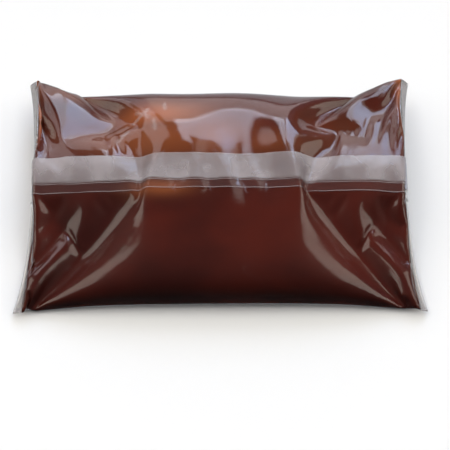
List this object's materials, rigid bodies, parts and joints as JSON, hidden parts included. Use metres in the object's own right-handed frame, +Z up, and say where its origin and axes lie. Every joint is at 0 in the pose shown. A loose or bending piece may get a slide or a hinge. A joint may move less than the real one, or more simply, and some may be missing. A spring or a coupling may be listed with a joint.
{
  "type": "sealed film pouch of barbecue sauce",
  "caption": "Clear film pillow pouch full of barbecue sauce, lying flat, with end seals, raised rear corners and a seam fin folded over along the top.",
  "frame": {"origin": "on the surface the pouch lies on, under the middle of its outline", "axes": "+X along the pouch from one end seal to the other, +Y from its front edge to its rear edge, +Z up"},
  "size_m": [0.2458, 0.1656, 0.035],
  "materials": {
    "sauce": "thick dark red-brown barbecue sauce, amber where the layer is thin",
    "film": "clear glossy polyethylene film with soft folds and fine scratches",
    "seam": "heat-sealed double film, milky and pale, with creases along it"
  },
  "bodies": {
    "root": {"sauce_pouch": "sauce"}
  },
  "joints": []
}
